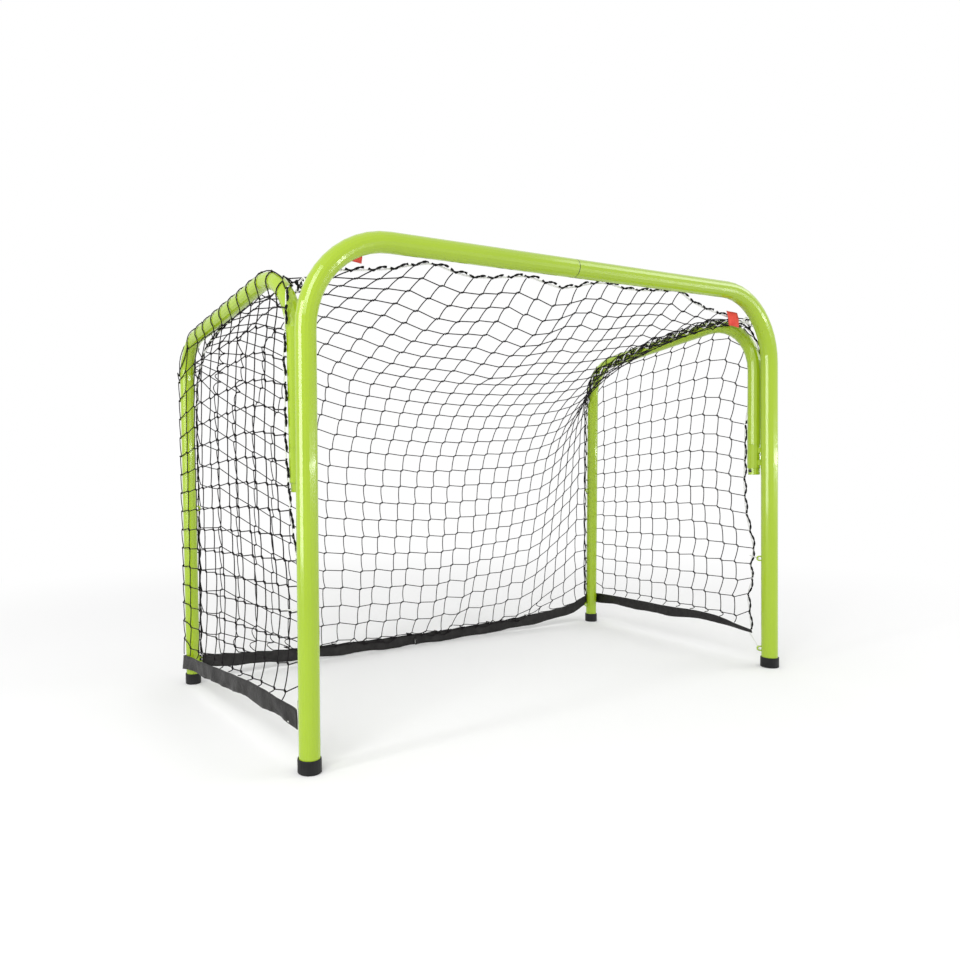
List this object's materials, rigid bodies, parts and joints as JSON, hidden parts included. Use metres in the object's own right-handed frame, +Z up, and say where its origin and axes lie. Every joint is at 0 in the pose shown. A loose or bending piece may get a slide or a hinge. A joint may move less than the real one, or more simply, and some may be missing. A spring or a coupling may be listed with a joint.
{
  "type": "floorball goal",
  "caption": "Folding practice goal: bent steel tube mouth, two side frames hinged behind the posts, and a knotted net with a weighted cloth hem.",
  "frame": {"origin": "on the floor, under the middle of the goal's box", "axes": "+X to the right seen from in front of the mouth, +Y from the mouth to the back, +Z up"},
  "size_m": [1.3462, 0.6906, 0.9378],
  "materials": {
    "green_paint": "gloss powder coat",
    "black_rubber": "satin moulded",
    "bare_steel": "plain",
    "dark_screw": "dark zinc",
    "net_twine": "twisted twine",
    "border_cord": "braided cord",
    "hem_cloth": "coated woven tape",
    "white_cord": "thin twisted cord",
    "red_cloth": "woven tape"
  },
  "bodies": {
    "front_frame": {"front_frame_right": "green_paint", "front_frame_left": "green_paint", "crossbar_sleeve": "bare_steel", "front_foot_cap_right": "black_rubber", "front_foot_cap_left": "black_rubber", "hinge_socket_right": "green_paint", "hinge_socket_left": "green_paint", "front_hook_1_right": "green_paint", "front_tie_1_right": "white_cord", "front_hook_1_left": "green_paint", "front_tie_1_left": "white_cord", "front_hook_2_right": "green_paint", "front_tie_2_right": "white_cord", "front_hook_2_left": "green_paint", "front_tie_2_left": "white_cord", "crossbar_hook_1": "green_paint", "crossbar_hook_2": "green_paint", "crossbar_hook_3": "green_paint", "crossbar_hook_4": "green_paint", "corner_tab_right": "red_cloth", "corner_tab_left": "red_cloth", "back_net": "net_twine", "back_hem": "hem_cloth", "front_border_cord": "border_cord"},
    "right_side": {"side_frame_right": "green_paint", "rear_foot_cap_right": "black_rubber", "pivot_tube_right": "green_paint", "pivot_screw_right": "dark_screw", "rear_hook_1_right": "green_paint", "rear_hook_2_right": "green_paint", "side_net_right": "net_twine", "side_hem_right": "hem_cloth", "side_border_cord_right": "border_cord", "seam_cord_right": "border_cord"},
    "left_side": {"side_frame_left": "green_paint", "rear_foot_cap_left": "black_rubber", "pivot_tube_left": "green_paint", "pivot_screw_left": "dark_screw", "rear_hook_1_left": "green_paint", "rear_hook_2_left": "green_paint", "side_net_left": "net_twine", "side_hem_left": "hem_cloth", "side_border_cord_left": "border_cord", "seam_cord_left": "border_cord"}
  },
  "joints": [
    {"name": "right_fold", "type": "hinge", "parent": "front_frame", "child": "right_side", "pos_m": [0.622, -0.28423, 0.5], "axis": [0, 0, 1], "range_deg": [0, 93], "deforming": ["back_net", "back_hem", "front_border_cord", "front_tie_1_right", "front_tie_2_right"]},
    {"name": "left_fold", "type": "hinge", "parent": "front_frame", "child": "left_side", "pos_m": [-0.622, -0.28423, 0.5], "axis": [0, 0, -1], "range_deg": [0, 93], "deforming": ["back_net", "back_hem", "front_border_cord", "front_tie_1_left", "front_tie_2_left"]}
  ]
}
